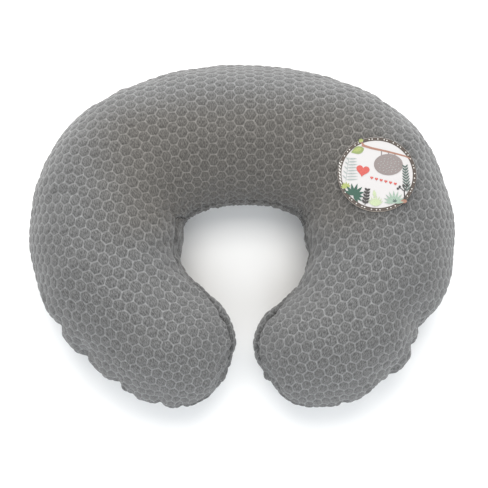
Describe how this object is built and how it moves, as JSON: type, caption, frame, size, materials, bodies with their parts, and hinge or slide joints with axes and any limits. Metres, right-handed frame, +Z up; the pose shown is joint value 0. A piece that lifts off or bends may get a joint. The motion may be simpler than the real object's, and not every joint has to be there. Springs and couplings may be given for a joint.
{
  "type": "nursing pillow",
  "caption": "C-shaped nursing pillow: zipped puffy honeycomb-knit cover over a fibre-filled inner pillow, arms that flex open, and a round printed card on one shoulder.",
  "frame": {"origin": "middle of the box round the pillow, on the surface that it lies on", "axes": "+X to the pillow's right arm as seen from the open side, +Y to the back of the C, +Z up"},
  "size_m": [0.5212, 0.428, 0.1564],
  "materials": {
    "knit_top": "matte",
    "knit_bottom": "matte",
    "casing_cloth": "matte",
    "fibre_fill": "matte",
    "zipper_tape": "matte",
    "zipper_coil": "satin",
    "zipper_metal": "satin",
    "label_cloth": "matte",
    "card_print": "satin",
    "card_stock": "matte",
    "hook_pad": "matte"
  },
  "bodies": {
    "back": {"cover_top_back": "knit_top", "cover_bottom_back": "knit_bottom", "casing_top_back": "casing_cloth", "casing_bottom_back": "casing_cloth", "fill_back": "fibre_fill", "zipper_tape_upper": "zipper_tape", "zipper_tape_lower": "zipper_tape", "zipper_coil_upper": "zipper_coil", "zipper_coil_lower": "zipper_coil", "zipper_top_stops": "zipper_metal", "zipper_bottom_stop": "zipper_metal", "care_label": "label_cloth", "law_label": "label_cloth"},
    "left_arm": {"cover_top_left_arm": "knit_top", "cover_bottom_left_arm": "knit_bottom", "casing_top_left_arm": "casing_cloth", "casing_bottom_left_arm": "casing_cloth", "fill_left_arm": "fibre_fill"},
    "right_arm": {"cover_top_right_arm": "knit_top", "cover_bottom_right_arm": "knit_bottom", "casing_top_right_arm": "casing_cloth", "casing_bottom_right_arm": "casing_cloth", "fill_right_arm": "fibre_fill"},
    "slider": {"zipper_slider": "zipper_metal"},
    "pull_tab": {"zipper_pull_tab": "zipper_metal"},
    "card": {"card_face": "card_print", "card_board": "card_stock", "card_hook_pad": "hook_pad"}
  },
  "joints": [
    {"name": "left_arm_flex", "type": "hinge", "parent": "back", "child": "left_arm", "pos_m": [-0.26155, -0.0076, 0.076], "axis": [0, 0, -1], "range_deg": [0, 12], "stiffness_Nm_per_rad": 14},
    {"name": "right_arm_flex", "type": "hinge", "parent": "back", "child": "right_arm", "pos_m": [0.26155, -0.0076, 0.076], "axis": [0, 0, 1], "range_deg": [0, 12], "stiffness_Nm_per_rad": 14},
    {"name": "slider_travel", "type": "hinge", "parent": "back", "child": "slider", "pos_m": [0, -0.10991, 0.076], "axis": [0, 0, -1], "range_deg": [0, 40.4]},
    {"name": "pull_tab_swing", "type": "hinge", "parent": "slider", "child": "pull_tab", "pos_m": [-0.11265, 0.19627, 0.076], "axis": [0, 0, 1], "range_deg": [0, 170]},
    {"name": "card_lift", "type": "slide", "parent": "back", "child": "card", "axis": [-0.0135, -0.006, 0.9999], "range_m": [0, 0.06]}
  ]
}
